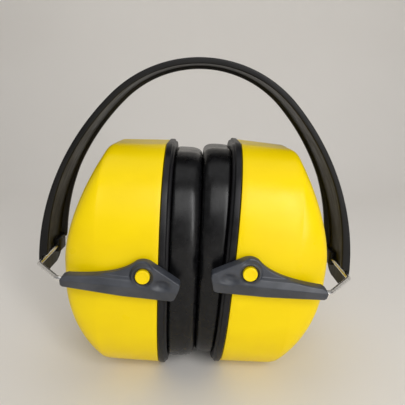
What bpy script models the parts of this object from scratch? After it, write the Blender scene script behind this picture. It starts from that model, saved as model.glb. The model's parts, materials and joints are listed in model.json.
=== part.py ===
"""Folding earmuff hearing protector, standing folded: headband, wire forks, arms and two cups.

World frame: +X to the right, +Y to the back, +Z up, the ground at z = 0. Each side is built in
coordinates whose +x points outboard, away from the head, and is mirrored for the left side.
"""

import math

import bmesh
import bpy
from mathutils import Vector

MM = 0.001

# Stance of the folded object, seen from the front; positive leans turn clockwise, towards +X.
BAND_ORIGIN = (-2.5 * MM, 53.6 * MM)
BAND_LEAN = 3.15
PIVOT = {"left": (-24.1 * MM, 62.7 * MM), "right": (20.7 * MM, 63.8 * MM)}
ARM_LEAN = {"left": 7.2, "right": 6.3}
CUP_LEAN = {"left": 2.7, "right": 5.2}
OUTBOARD = {"left": -1, "right": 1}
FACING = {"front": -1, "rear": 1}

# Headband: an arch of three tangent arcs, measured on its outer face.
BAND_HALF_WIDTH = 16.0 * MM
CROWN_RADIUS = 59.3 * MM
CROWN_HALF_ANGLE = 45.6
CROWN_TOP = 99.2 * MM
TEMPLE_RADIUS = 124.0 * MM
WEB_THICKNESS = 1.6 * MM
LIP_WIDTH = 2.6 * MM
LIP_THICKNESS = 3.0 * MM
LIP_THICKNESS_END = 4.6 * MM
LIP_END_HEIGHT = 2.7 * MM
TONGUE_TIP_HEIGHT = -9.5 * MM
HINGE_X = 75.2 * MM
KEEPER_Y = (3.0 * MM, 13.0 * MM)
KEEPER_Z = (-3.4 * MM, 4.4 * MM)
KEEPER_DEPTH = 3.4 * MM

# Wire fork
WIRE_RADIUS = 1.1 * MM
WIRE_RUNNING_GAP = 0.25 * MM
WIRE_BEND_RADIUS = 3.2 * MM
ELBOW_Y = 20.8 * MM
LEG_TIP_U = -14.2 * MM
LEG_BEND_U = 35.5 * MM

# Arms: u runs outboard and v up from the pivot, w out from the cup.
ARM_INNER_Y = 43.2 * MM
ARM_THICKNESS = 3.9 * MM
RIDGE_V = -5.8 * MM
RIDGE_HALF_HEIGHT = 4.0 * MM
RIDGE_THICKNESS = 5.2 * MM
CHANNEL_W = 2.6 * MM
HUB_RADIUS = 6.3 * MM
HUB_THICKNESS = 4.8 * MM
BUTTON_RADIUS = 2.8 * MM
BUTTON_RECESS_RADIUS = 3.9 * MM
BUTTON_RECESS_DEPTH = 1.6 * MM
PIN_RADIUS = 1.7 * MM
PIN_GAP = 0.3 * MM
PIN_HEAD_CLEARANCE = 0.9 * MM

# Cups: s is the distance outboard of the shell's rim, and all outlines share one centre.
CUP_HALF_HEIGHT = 56.6 * MM
CUP_HALF_WIDTH = 42.0 * MM
OUTLINE_EXPONENT = 2.47
DOME_EXPONENT = 6.5
OUTLINE_POINTS = 32
INSERT_POINTS = 20
STANDING_FLAT = 0.98
PIVOT_S = 5.8 * MM
PIVOT_HEIGHT = {"left": 5.0 * MM, "right": 6.6 * MM}
SHELL_WALL = 2.6 * MM
SIDE_LENGTH = 23.5 * MM
SIDE_DRAFT = 0.987
DOME_HEIGHT = 43.0 * MM
DOME_DROP = 17.6 * MM
DOME_POWER = 2.0
DOME_BREADTH_POWER = 0.14
DOME_STEPS = (0.95, 0.86, 0.74, 0.58, 0.4, 0.2)
TOUCH_GAP = 0.3 * MM
PLATE_THICKNESS = 4.0 * MM
PLATE_PROUD = 0.5 * MM
PLATE_INNER_INSET = 9.0 * MM
SPIGOT_DEPTH = 5.0 * MM
SPIGOT_WALL = 1.8 * MM

# Cushions: their width across the ring, and where their face lies from the shell's rim.
CUSHION_INSET = 2.5 * MM
CUSHION_WIDTH = 16.5 * MM
CUSHION_PLATE_THICKNESS = 1.6 * MM
COVER_THICKNESS = 1.0 * MM
CUSHION_FACE = {"left": 16.9 * MM, "right": 14.8 * MM}
CUSHION_FACE_SLOPE = {"left": 0.0, "right": 0.042}
CUSHION_PROFILE = ((0.0, 0.02), (0.6, 0.0), (0.92, 0.1), (1.0, 0.3))
INSERT_THICKNESS = 7.0 * MM


def plastic(name, color, roughness, metallic=0.0):
    """A Principled material of one colour."""
    material = bpy.data.materials.new(name)
    material.use_nodes = True
    shader = material.node_tree.nodes["Principled BSDF"]
    shader.inputs["Base Color"].default_value = (*color, 1.0)
    shader.inputs["Roughness"].default_value = roughness
    shader.inputs["Metallic"].default_value = metallic
    return material


def make_materials():
    """The object's materials, by the name of their slot."""
    return {
        "band": plastic("band", (0.018, 0.018, 0.02), 0.45),
        "wire": plastic("wire", (0.72, 0.72, 0.74), 0.25, 1.0),
        "arm": plastic("arm", (0.035, 0.04, 0.05), 0.45),
        "cup": plastic("cup", (0.9, 0.68, 0.0), 0.4),
        "plate": plastic("plate", (0.012, 0.012, 0.014), 0.4),
        "cover": plastic("cover", (0.006, 0.006, 0.007), 0.22),
        "foam": plastic("foam", (0.03, 0.03, 0.032), 0.95),
    }


def clear_scene():
    for obj in list(bpy.data.objects):
        bpy.data.objects.remove(obj, do_unlink=True)


def make_empty(name, parent=None, location=(0.0, 0.0, 0.0), lean=0.0):
    """An empty that carries pieces; lean is in degrees about +Y."""
    empty = bpy.data.objects.new(name, None)
    empty.location = location
    empty.rotation_euler = (0.0, math.radians(lean), 0.0)
    empty.parent = parent
    bpy.context.scene.collection.objects.link(empty)
    return empty


def make_object(name, mesh_data, material, parent, mirror=(1, 1)):
    """A mesh object from (points, faces), mirrored in x and y as asked, with its faces turned out."""
    points, faces = mesh_data
    mesh = bpy.data.meshes.new(name)
    mesh.from_pydata([(x * mirror[0], y * mirror[1], z) for x, y, z in points], [], faces)
    shape = bmesh.new()
    shape.from_mesh(mesh)
    bmesh.ops.recalc_face_normals(shape, faces=shape.faces)
    shape.to_mesh(mesh)
    shape.free()
    mesh.shade_smooth()
    mesh.set_sharp_from_angle(angle=math.radians(40))
    mesh.materials.append(material)
    obj = bpy.data.objects.new(name, mesh)
    obj.parent = parent
    bpy.context.scene.collection.objects.link(obj)
    return obj


def make_helper(name, mesh_data, parent, mirror=(1, 1)):
    """An object that only shapes its neighbour through a Boolean."""
    helper = make_object(name, mesh_data, None, parent, mirror)
    helper.hide_render = True
    helper.display_type = "WIRE"
    return helper


def combine(obj, helper, operation):
    modifier = obj.modifiers.new(f"{operation} {helper.name}", "BOOLEAN")
    modifier.object = helper
    modifier.operation = operation
    modifier.solver = "EXACT"


def loft(rings, closed=False):
    """(points, faces) of a skin over rings of points; a ring of one point is a pole."""
    points, starts, faces = [], [], []
    for ring in rings:
        starts.append(len(points))
        points.extend(tuple(point) for point in ring)
    pairs = list(zip(range(len(rings) - 1), range(1, len(rings))))
    if closed:
        pairs.append((len(rings) - 1, 0))
    for first, second in pairs:
        count = max(len(rings[first]), len(rings[second]))
        for i in range(count):
            near = [starts[first] + j % len(rings[first]) for j in (i, i + 1)]
            far = [starts[second] + j % len(rings[second]) for j in (i + 1, i)]
            faces.append(tuple(dict.fromkeys(near + far)))
    return points, faces


def capped(rings):
    """A loft whose two end rings are filled."""
    points, faces = loft(rings)
    faces.append(tuple(range(len(rings[0]))))
    faces.append(tuple(range(len(points) - len(rings[-1]), len(points))))
    return points, faces


def box(x_range, y_range, z_range):
    """A box between the given limits."""
    rings = []
    for y in y_range:
        rings.append(
            [
                (x_range[0], y, z_range[0]),
                (x_range[1], y, z_range[0]),
                (x_range[1], y, z_range[1]),
                (x_range[0], y, z_range[1]),
            ]
        )
    return capped(rings)


def turned_y(center, stations, count=24):
    """A turned solid on an axis along y; stations are (y, radius) pairs."""
    rings = []
    for y, radius in stations:
        angles = (2 * math.pi * i / count for i in range(count))
        rings.append(
            [(center[0] + radius * math.cos(a), y, center[1] + radius * math.sin(a)) for a in angles]
        )
    return capped(rings)


# Headband


def arch_point(angle):
    """Point and outward normal of the outer face; angle in degrees from the crown, signed by side."""
    side, turn = (1 if angle >= 0 else -1), math.radians(abs(angle))
    crown_turn = math.radians(CROWN_HALF_ANGLE)
    normal = Vector((side * math.sin(turn), 0.0, math.cos(turn)))
    crown_center = Vector((0.0, 0.0, CROWN_TOP - CROWN_RADIUS))
    if turn <= crown_turn:
        return crown_center + CROWN_RADIUS * normal, normal
    shared = Vector((side * math.sin(crown_turn), 0.0, math.cos(crown_turn)))
    temple_center = crown_center + (CROWN_RADIUS - TEMPLE_RADIUS) * shared
    return temple_center + TEMPLE_RADIUS * normal, normal


def arch_angle(height):
    """The angle at which the outer face of a temple is at this height."""
    crown_turn = math.radians(CROWN_HALF_ANGLE)
    center_z = CROWN_TOP - CROWN_RADIUS + (CROWN_RADIUS - TEMPLE_RADIUS) * math.cos(crown_turn)
    return math.degrees(math.acos((height - center_z) / TEMPLE_RADIUS))


def lip_thickness(height):
    """Lips thicken down each temple and stop above the tongue."""
    if height < LIP_END_HEIGHT - 0.2 * MM:
        return WEB_THICKNESS + 0.1 * MM
    start, end = 45.0 * MM, 8.0 * MM
    share = min(1.0, max(0.0, (start - height) / (start - end)))
    return LIP_THICKNESS + share * (LIP_THICKNESS_END - LIP_THICKNESS)


def tongue_half_width(height):
    """Half width of the band, rounded off below the lips."""
    below = max(0.0, LIP_END_HEIGHT - height)
    reach = (LIP_END_HEIGHT - TONGUE_TIP_HEIGHT) * 1.04
    return BAND_HALF_WIDTH * math.sqrt(1.0 - (below / reach) ** 2)


def band_section(angle):
    """Closed ring of points of the band's section: flat outside, lipped inside."""
    outer, normal = arch_point(angle)
    half = tongue_half_width(outer.z)
    lip, edge = lip_thickness(outer.z), 0.6 * MM
    inner = half - LIP_WIDTH * half / BAND_HALF_WIDTH
    half_ring = [
        (0.0, 0.0),
        (half - edge, 0.0),
        (half, edge),
        (half, lip - edge),
        (half - edge, lip),
        (inner, lip),
        (inner - edge, WEB_THICKNESS),
        (0.0, WEB_THICKNESS),
    ]
    ring = half_ring + [(-y, depth) for y, depth in reversed(half_ring[1:-1])]
    return [outer - depth * normal + Vector((0.0, y, 0.0)) for y, depth in ring]


def band_angles():
    """Stations along the arch, closer together on the rounded tongues."""
    lip_end = arch_angle(LIP_END_HEIGHT)
    steps = 17
    temple = [lip_end * (i + 1) / steps for i in range(steps)]
    heights = [LIP_END_HEIGHT - drop * MM for drop in (1.0, 3.5, 6.0, 8.5, 10.5, 11.8, 12.2)]
    half = temple + [arch_angle(height) for height in heights]
    return [-angle for angle in reversed(half)] + [0.0] + half


def make_headband(material, band_frame):
    sections = [band_section(angle) for angle in band_angles()]
    band = make_object("headband", capped(sections), material, band_frame)
    clearance = WIRE_RADIUS + WIRE_RUNNING_GAP
    keeper_x = (HINGE_X - KEEPER_DEPTH + WIRE_RADIUS, HINGE_X + clearance + 0.8 * MM)
    keeper = box(keeper_x, KEEPER_Y, KEEPER_Z)
    hole = turned_y((HINGE_X, 0.0), ((-20 * MM, clearance), (20 * MM, clearance)), 12)
    for side, sign in OUTBOARD.items():
        combine(band, make_helper(f"{side}_keeper", keeper, band_frame, (sign, 1)), "UNION")
        combine(band, make_helper(f"{side}_wire_hole", hole, band_frame, (sign, 1)), "DIFFERENCE")
    return band


# Wire forks


def rounded_path(corners, radius, steps=4):
    """The corners of a path, each inner one replaced by a short arc."""
    path = [corners[0]]
    for before, corner, after in zip(corners, corners[1:], corners[2:]):
        back, ahead = (before - corner).normalized(), (after - corner).normalized()
        half_turn = (math.pi - back.angle(ahead)) / 2
        reach = radius * math.tan(half_turn)
        start, end = corner + reach * back, corner + reach * ahead
        bisector = (back + ahead).normalized()
        center = corner + bisector * (radius / math.cos(half_turn))
        for i in range(steps + 1):
            spoke = (start - center).slerp(end - center, i / steps)
            path.append(center + radius * spoke.normalized())
    path.append(corners[-1])
    return path


def make_wire_fork(side, material, hinge, arm_frame_matrix):
    """A bent wire: hinge bar across the band's end, and a leg flared out into each arm."""
    leg_y = ARM_INNER_Y + CHANNEL_W
    to_hinge = hinge.matrix_world.inverted() @ arm_frame_matrix
    sign = OUTBOARD[side]
    tip = to_hinge @ Vector((sign * LEG_TIP_U, 0.0, RIDGE_V))
    bend = to_hinge @ Vector((sign * LEG_BEND_U, 0.0, RIDGE_V))
    corners = [
        Vector((tip.x, -leg_y, tip.z)),
        Vector((bend.x, -leg_y, bend.z)),
        Vector((0.0, -ELBOW_Y, 0.0)),
        Vector((0.0, ELBOW_Y, 0.0)),
        Vector((bend.x, leg_y, bend.z)),
        Vector((tip.x, leg_y, tip.z)),
    ]
    path = rounded_path(corners, WIRE_BEND_RADIUS)
    curve = bpy.data.curves.new(f"{side}_wire_fork", "CURVE")
    curve.dimensions = "3D"
    curve.bevel_depth = WIRE_RADIUS
    curve.bevel_resolution = 2
    curve.use_fill_caps = True
    curve.materials.append(material)
    spline = curve.splines.new("POLY")
    spline.points.add(len(path) - 1)
    for point, place in zip(spline.points, path):
        point.co = (*place, 1.0)
    fork = bpy.data.objects.new(f"{side}_wire_fork", curve)
    fork.parent = hinge
    bpy.context.scene.collection.objects.link(fork)
    return fork


# Arms


def arm_outline():
    """Outline of an arm: round hub, straight slope inboard, and a hollow sweep to the outboard end."""
    hub_arc = [
        (HUB_RADIUS * math.cos(math.radians(a)), HUB_RADIUS * math.sin(math.radians(a)))
        for a in range(56, 121, 16)
    ]
    sweep_start = Vector((*hub_arc[0], 0.0))
    sweep_end = Vector((31.6 * MM, -3.2 * MM, 0.0))
    control = Vector((10.5 * MM, -2.0 * MM, 0.0))
    sweep = []
    for i in range(7, 0, -1):
        t = i / 8
        sweep.append((1 - t) ** 2 * sweep_start + 2 * t * (1 - t) * control + t**2 * sweep_end)
    corners = [
        (-15.8 * MM, -1.4 * MM),
        (-16.0 * MM, -2.6 * MM),
        (-14.2 * MM, -9.6 * MM),
        (-12.8 * MM, -10.7 * MM),
        (8.0 * MM, -10.7 * MM),
        (34.2 * MM, -8.9 * MM),
        (34.0 * MM, -5.0 * MM),
        (31.6 * MM, -3.2 * MM),
    ]
    return corners + [(point.x, point.y) for point in sweep] + hub_arc


def slab(outline, w_range):
    """An outline in (u, v) extruded over a range of w; w runs along y."""
    return capped([[(u, w, v) for u, v in outline] for w in w_range])


def ridge_outline():
    """Long low hexagon around the wire channel."""
    top, bottom = RIDGE_V + RIDGE_HALF_HEIGHT, RIDGE_V - RIDGE_HALF_HEIGHT
    return [
        (-14.2 * MM, bottom + 1.2 * MM),
        (-12.4 * MM, bottom + 0.1 * MM),
        (8.0 * MM, bottom),
        (34.0 * MM, bottom + 1.5 * MM),
        (34.0 * MM, top - 2.8 * MM),
        (28.0 * MM, top - 1.6 * MM),
        (-12.6 * MM, top - 0.3 * MM),
        (-15.0 * MM, top - 1.5 * MM),
    ]


def make_arm(side, facing, material, arm_frame):
    """Plate, hub and ridge in one moulding, bored for the pin and the wire."""
    name = f"{side}_{facing}_arm"
    mirror = (OUTBOARD[side], FACING[facing])
    base = ARM_INNER_Y
    arm = make_object(name, slab(arm_outline(), (base, base + ARM_THICKNESS)), material, arm_frame, mirror)
    hub_stations = ((base + 1 * MM, HUB_RADIUS - 0.8 * MM), (base + HUB_THICKNESS, HUB_RADIUS - 1.6 * MM))
    hub = turned_y((0.0, 0.0), hub_stations)
    ridge = slab(ridge_outline(), (base + 0.2 * MM, base + RIDGE_THICKNESS))
    bore_radius = PIN_RADIUS + PIN_GAP
    seat = base + HUB_THICKNESS - BUTTON_RECESS_DEPTH
    outside = base + HUB_THICKNESS + 1 * MM
    bore = turned_y((0.0, 0.0), ((base - 1 * MM, bore_radius), (outside, bore_radius)))
    recess = turned_y((0.0, 0.0), ((seat, BUTTON_RECESS_RADIUS), (outside, BUTTON_RECESS_RADIUS)))
    radius = WIRE_RADIUS + WIRE_RUNNING_GAP
    angles = [math.radians(30 * i) for i in range(12)]
    ring = [(base + CHANNEL_W + radius * math.cos(a), RIDGE_V + radius * math.sin(a)) for a in angles]
    channel = capped([[(u, y, v) for y, v in ring] for u in (-20 * MM, 40 * MM)])
    for label, helper, operation in (
        ("hub", hub, "UNION"),
        ("ridge", ridge, "UNION"),
        ("bore", bore, "DIFFERENCE"),
        ("recess", recess, "DIFFERENCE"),
        ("channel", channel, "DIFFERENCE"),
    ):
        combine(arm, make_helper(f"{name}_{label}", helper, arm_frame, mirror), operation)
    return arm


def make_pivot_pin(side, facing, material, pivot):
    """Button-headed pin through an arm and the shell's wall, with a snap head inside."""
    base = ARM_INNER_Y
    seat = base + HUB_THICKNESS - BUTTON_RECESS_DEPTH + PIN_GAP
    inside = CUP_HALF_WIDTH - SHELL_WALL - PIN_HEAD_CLEARANCE
    stations = (
        (inside - 2.2 * MM, PIN_RADIUS),
        (inside - 1.4 * MM, PIN_RADIUS + 1.1 * MM),
        (inside, PIN_RADIUS + 1.1 * MM),
        (inside, PIN_RADIUS),
        (seat, PIN_RADIUS),
        (seat, BUTTON_RADIUS),
        (base + HUB_THICKNESS, BUTTON_RADIUS),
        (base + HUB_THICKNESS + 0.5 * MM, BUTTON_RADIUS - 0.6 * MM),
    )
    data = turned_y((0.0, 0.0), stations, 16)
    return make_object(f"{side}_{facing}_pivot_pin", data, material, pivot, (1, FACING[facing]))


# Cups


def power(value, exponent):
    return math.copysign(abs(value) ** exponent, value)


def outline(s, height=1.0, breadth=1.0, inset=0.0, exponent=OUTLINE_EXPONENT, count=OUTLINE_POINTS):
    """Ring of points of the cup's outline at s, scaled in height and breadth, flat at top and bottom."""
    half_width = CUP_HALF_WIDTH * breadth - inset
    half_height = CUP_HALF_HEIGHT * height - inset
    ring = []
    for i in range(count):
        turn = 2 * math.pi * i / count
        y = half_width * power(math.cos(turn), 2 / exponent)
        z = half_height * power(math.sin(turn), 2 / exponent) / STANDING_FLAT
        ring.append((s, y, max(-half_height, min(half_height, z))))
    return ring


def rim_ring(s, inset):
    """Ring of the outline at the rim's full size, less an inset."""
    return outline(s, inset=inset)


def dome_ring(scale, inset, drop, count):
    """Level ring of the dome: its height shrinks with the scale, and its breadth much later."""
    s = DOME_HEIGHT - DOME_DROP * scale**DOME_POWER - drop
    breadth = SIDE_DRAFT * scale**DOME_BREADTH_POWER
    exponent = DOME_EXPONENT + (OUTLINE_EXPONENT - DOME_EXPONENT) * scale
    return outline(s, scale, breadth, inset * scale, exponent, count)


def bowl(start, inset, drop, count=OUTLINE_POINTS):
    """Outer rings of a bowl from s = start to its pole, inset from the cup's outside."""
    rings = [outline(start, 1.0, 1.0, inset, count=count)]
    rings.append(outline(SIDE_LENGTH - drop, SIDE_DRAFT, SIDE_DRAFT, inset, count=count))
    for scale in DOME_STEPS:
        rings.append(dome_ring(scale, inset, drop, count))
    rings.append([(DOME_HEIGHT - drop, 0.0, 0.0)])
    return rings


def make_cup_shell(side, material, cup_frame):
    """Deep domed shell, open inboard, with a hole for each pivot pin."""
    outer = bowl(0.0, 0.0, 0.0)
    inner = bowl(0.0, SHELL_WALL, SHELL_WALL)
    data = loft([outer[-1], *reversed(outer[:-1]), *inner])
    sign = OUTBOARD[side]
    shell = make_object(f"{side}_cup_shell", data, material, cup_frame, (sign, 1))
    radius = PIN_RADIUS + PIN_GAP
    hole = turned_y((PIVOT_S, PIVOT_HEIGHT[side]), ((-60 * MM, radius), (60 * MM, radius)), 16)
    combine(shell, make_helper(f"{side}_pin_holes", hole, cup_frame, (sign, 1)), "DIFFERENCE")
    return shell


def make_back_plate(side, material, cup_frame):
    """Rim ring against the shell, with a spigot that centres it inside."""
    back = -TOUCH_GAP
    front = back - PLATE_THICKNESS
    spigot = SHELL_WALL + TOUCH_GAP
    rings = [
        rim_ring(back, -PLATE_PROUD),
        rim_ring(front + 0.8 * MM, -PLATE_PROUD),
        rim_ring(front, 0.1 * MM),
        rim_ring(front, PLATE_INNER_INSET),
        rim_ring(back, PLATE_INNER_INSET),
        rim_ring(back, spigot + SPIGOT_WALL),
        rim_ring(SPIGOT_DEPTH * 0.3, spigot + SPIGOT_WALL),
        rim_ring(SPIGOT_DEPTH * 0.3, spigot),
        rim_ring(back, spigot),
    ]
    return make_object(f"{side}_back_plate", loft(rings, True), material, cup_frame, (OUTBOARD[side], 1))


def cushion_face(side, z):
    """How far inboard of the rim the cushion's face lies at this height."""
    return CUSHION_FACE[side] + CUSHION_FACE_SLOPE[side] * z


def cushion_ring(side, depth, inset):
    """Outline at a share of the cushion's depth, from its plate (0) to its face (1)."""
    plate = PLATE_THICKNESS + 2 * TOUCH_GAP + CUSHION_PLATE_THICKNESS
    ring = []
    for _, y, z in rim_ring(0.0, inset):
        ring.append((-(plate + depth * (cushion_face(side, z) - plate)), y, z))
    return ring


def make_cushion_plate(side, material, cup_frame):
    """Flat ring that carries the cushion and snaps into the back plate."""
    near = -(PLATE_THICKNESS + 2 * TOUCH_GAP)
    far = near - CUSHION_PLATE_THICKNESS
    inner = CUSHION_INSET + CUSHION_WIDTH - 2.5 * MM
    rings = [
        rim_ring(near, CUSHION_INSET + 1.5 * MM),
        rim_ring(far, CUSHION_INSET + 1.5 * MM),
        rim_ring(far, inner),
        rim_ring(near, inner),
        rim_ring(near, PLATE_INNER_INSET + 2.1 * MM),
        rim_ring(near + 2.4 * MM, PLATE_INNER_INSET + 2.1 * MM),
        rim_ring(near + 2.4 * MM, PLATE_INNER_INSET + TOUCH_GAP),
        rim_ring(near, PLATE_INNER_INSET + TOUCH_GAP),
    ]
    return make_object(f"{side}_cushion_plate", loft(rings, True), material, cup_frame, (OUTBOARD[side], 1))


def cushion_profile(side, shrink):
    """Rings round the front of a cushion, from its outer foot to its inner foot."""
    outer, width = CUSHION_INSET + shrink, CUSHION_WIDTH - 2 * shrink
    face = 1.0 - shrink / (10.0 * MM)
    rings = []
    for depth, across in CUSHION_PROFILE:
        rings.append(cushion_ring(side, depth * face, outer + across * width))
    for depth, across in reversed(CUSHION_PROFILE):
        rings.append(cushion_ring(side, depth * face, outer + (1.0 - across) * width))
    return rings


def make_cushion_foam(side, material, cup_frame):
    rings = cushion_profile(side, COVER_THICKNESS + TOUCH_GAP)
    lifted = [[(s - TOUCH_GAP, y, z) for s, y, z in ring] for ring in rings]
    return make_object(f"{side}_cushion_foam", loft(lifted, True), material, cup_frame, (OUTBOARD[side], 1))


def make_cushion_cover(side, material, cup_frame):
    """Skin over the foam, open at the back against the cushion's plate."""
    outside = cushion_profile(side, 0.0)
    inside = cushion_profile(side, COVER_THICKNESS)
    lifted = [[(s - TOUCH_GAP, y, z) for s, y, z in ring] for ring in outside]
    lining = [[(s - TOUCH_GAP, y, z) for s, y, z in ring] for ring in inside]
    data = loft(lifted + list(reversed(lining)), True)
    return make_object(f"{side}_cushion_cover", data, material, cup_frame, (OUTBOARD[side], 1))


def make_acoustic_insert(side, material, cup_frame):
    """Foam bowl that lines the shell behind the back plate."""
    start = SPIGOT_DEPTH
    gap = SHELL_WALL + 3.2 * MM
    drop = SHELL_WALL + 1.2 * MM
    outer = bowl(start, gap, drop, INSERT_POINTS)
    inner = bowl(start, gap + INSERT_THICKNESS, drop + INSERT_THICKNESS, INSERT_POINTS)
    data = loft([outer[-1], *reversed(outer[:-1]), *inner])
    return make_object(f"{side}_acoustic_insert", data, material, cup_frame, (OUTBOARD[side], 1))


def make_side(side, materials, band_frame, stand):
    """One wire fork with its arms and cup; the frames follow the joints from the band outward."""
    sign = OUTBOARD[side]
    pivot_x, pivot_z = PIVOT[side]
    hinge = make_empty(f"{side}_hinge", band_frame, (sign * HINGE_X, 0.0, 0.0))
    arm_frame = make_empty(f"{side}_arm_frame", stand, (pivot_x, 0.0, pivot_z), ARM_LEAN[side])
    pivot = make_empty(f"{side}_pivot", stand, (pivot_x, 0.0, pivot_z), CUP_LEAN[side])
    cup_frame = make_empty(f"{side}_cup_frame", pivot, (-sign * PIVOT_S, 0.0, -PIVOT_HEIGHT[side]))
    bpy.context.view_layer.update()
    make_wire_fork(side, materials["wire"], hinge, arm_frame.matrix_world)
    for facing in FACING:
        make_arm(side, facing, materials["arm"], arm_frame)
        make_pivot_pin(side, facing, materials["cup"], pivot)
    make_cup_shell(side, materials["cup"], cup_frame)
    make_back_plate(side, materials["plate"], cup_frame)
    make_cushion_plate(side, materials["plate"], cup_frame)
    make_cushion_foam(side, materials["foam"], cup_frame)
    make_cushion_cover(side, materials["cover"], cup_frame)
    make_acoustic_insert(side, materials["foam"], cup_frame)


def set_on_ground(stand):
    """Moves the whole object so that its box stands on z = 0, centred on the origin."""
    bpy.context.view_layer.update()
    graph = bpy.context.evaluated_depsgraph_get()
    low, high = Vector((1e9,) * 3), Vector((-1e9,) * 3)
    for obj in bpy.data.objects:
        if obj.type == "EMPTY" or obj.hide_render:
            continue
        evaluated = obj.evaluated_get(graph)
        mesh = evaluated.to_mesh()
        for vertex in mesh.vertices:
            place = obj.matrix_world @ vertex.co
            low = Vector(map(min, low, place))
            high = Vector(map(max, high, place))
        evaluated.to_mesh_clear()
    stand.location -= Vector(((low.x + high.x) / 2, (low.y + high.y) / 2, low.z))


def main():
    clear_scene()
    materials = make_materials()
    stand = make_empty("stand")
    band_frame = make_empty("band_frame", stand, (BAND_ORIGIN[0], 0.0, BAND_ORIGIN[1]), BAND_LEAN)
    make_headband(materials["band"], band_frame)
    for side in OUTBOARD:
        make_side(side, materials, band_frame, stand)
    set_on_ground(stand)


main()
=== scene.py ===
import json
import math

import bmesh
import bpy
import numpy as np
from mathutils import Matrix, Vector
from mathutils.kdtree import KDTree


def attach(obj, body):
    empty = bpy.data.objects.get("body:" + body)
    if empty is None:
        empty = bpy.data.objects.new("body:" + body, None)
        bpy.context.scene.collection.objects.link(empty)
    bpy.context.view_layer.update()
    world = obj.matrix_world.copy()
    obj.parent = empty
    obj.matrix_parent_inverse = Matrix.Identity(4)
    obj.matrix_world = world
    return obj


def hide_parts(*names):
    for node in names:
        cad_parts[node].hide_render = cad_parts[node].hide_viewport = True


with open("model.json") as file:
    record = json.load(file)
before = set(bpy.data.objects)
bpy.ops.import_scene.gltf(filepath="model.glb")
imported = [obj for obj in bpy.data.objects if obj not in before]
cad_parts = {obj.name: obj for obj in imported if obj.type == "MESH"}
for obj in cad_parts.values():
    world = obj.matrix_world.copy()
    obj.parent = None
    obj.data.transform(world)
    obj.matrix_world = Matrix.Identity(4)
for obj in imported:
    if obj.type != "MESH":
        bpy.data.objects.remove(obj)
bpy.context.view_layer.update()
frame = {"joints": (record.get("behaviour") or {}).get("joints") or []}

MM = 0.001
SIDES = ("left", "right")
OUTBOARD = {"left": -1, "right": 1}
FACING = {"front": -1, "rear": 1}

# Stance, in degrees about +Y
ARM_LEAN = {"left": 7.2, "right": 6.3}
CUP_LEAN = {"left": 2.7, "right": 5.2}

# Headband arch, measured on its outer face
HINGE_X = 75.2 * MM
CROWN_RADIUS = 59.3 * MM
CROWN_HALF_ANGLE = 45.6
CROWN_TOP = 99.2 * MM
TEMPLE_RADIUS = 124.0 * MM
BAND_HALF_WIDTH = 16.0 * MM
WEB_THICKNESS = 1.7 * MM
LIP_WIDTH = 2.6 * MM
LIP_THICKNESS = 3.1 * MM
LIP_THICKNESS_END = 4.6 * MM
LIP_GROWTH_TOP = 45.0 * MM
LIP_GROWTH_LENGTH = 37.0 * MM
LIP_END_HEIGHT = 2.7 * MM
LIP_END_LEAD = 1.0 * MM
TONGUE_TIP_HEIGHT = -9.5 * MM
TONGUE_EXPONENT = 2.7
KEEPER_X = (73.0 * MM, 77.3 * MM)
KEEPER_Y = (3.0 * MM, 13.0 * MM)
KEEPER_Z = (-3.4 * MM, 4.4 * MM)
KEEPER_EDGE_RADIUS = 1.2 * MM
SECTIONS_PER_SIDE = 70
TONGUE_SECTIONS = 26

# Wire forks
WIRE_RADIUS = 1.1 * MM
WIRE_HOLE_RADIUS = 1.35 * MM
WIRE_BEND_RADIUS = 3.2 * MM
ELBOW_Y = 20.8 * MM
LEG_TIP_U = -14.6 * MM
LEG_BEND_U = 35.5 * MM
WIRE_SIDES = 20
WIRE_TIP_CHAMFER = 0.35 * MM
WIRE_TIP_SCALE = 0.68

# Arms: u outboard and v up from the pivot, w out from the cup
ARM_INNER_Y = 43.2 * MM
ARM_INBOARD_U = -16.0 * MM
ARM_OUTBOARD_U = 34.2 * MM
ARM_EDGE_RADIUS = 0.7 * MM
ARM_EDGE_THICKNESS = 0.6 * MM
RIDGE_V = -5.8 * MM
CHANNEL_W = 2.6 * MM
HUB_RADIUS = 6.4 * MM
HUB_THICKNESS = 4.8 * MM
WEB_LEVEL = 2.7 * MM
RIDGE_LEVEL = 5.2 * MM
RIDGE_LINE_V = -5.2 * MM
UPPER_FACET_SLOPE = 0.34
LOWER_FACET_SLOPE = 0.4
SCOOP_CENTER = (-8.2 * MM, -3.1 * MM)
SCOOP_RADII = (5.0 * MM, 3.2 * MM)
SCOOP_DEPTH = 1.4 * MM
BUTTON_RADIUS = 3.08 * MM
BUTTON_RECESS_RADIUS = 3.7 * MM
BUTTON_RECESS_DEPTH = 1.7 * MM
PIN_RADIUS = 1.7 * MM
PIN_INNER_CLEARANCE = 0.9 * MM

# Cups: s runs outboard from the shell's rim
CUP_HALF_HEIGHT = 56.6 * MM
CUP_HALF_WIDTH = 42.0 * MM
RIM_EXPONENT = 2.47
DOME_EXPONENT = 6.5
STANDING_FLAT = 0.98
PIVOT_S = 5.8 * MM
PIVOT_HEIGHT = {"left": 5.0 * MM, "right": 6.6 * MM}
SIDE_LENGTH = 24.4 * MM
SIDE_DRAFT = 0.987
DOME_HEIGHT = 43.0 * MM
DOME_DROP = 17.6 * MM
DOME_POWER = 2.0
DOME_BREADTH_POWER = 0.14
SHELL_WALL = 2.6 * MM
SHOULDER_SCALE = 0.945
POLE_SCALE = 0.04
PLATE_INNER_INSET = 9.0 * MM
SPIGOT_WALL = 1.8 * MM
INSERT_GAP = 3.2 * MM
INSERT_THICKNESS = 7.0 * MM
INSERT_RIM_S = 5.0 * MM

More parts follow.
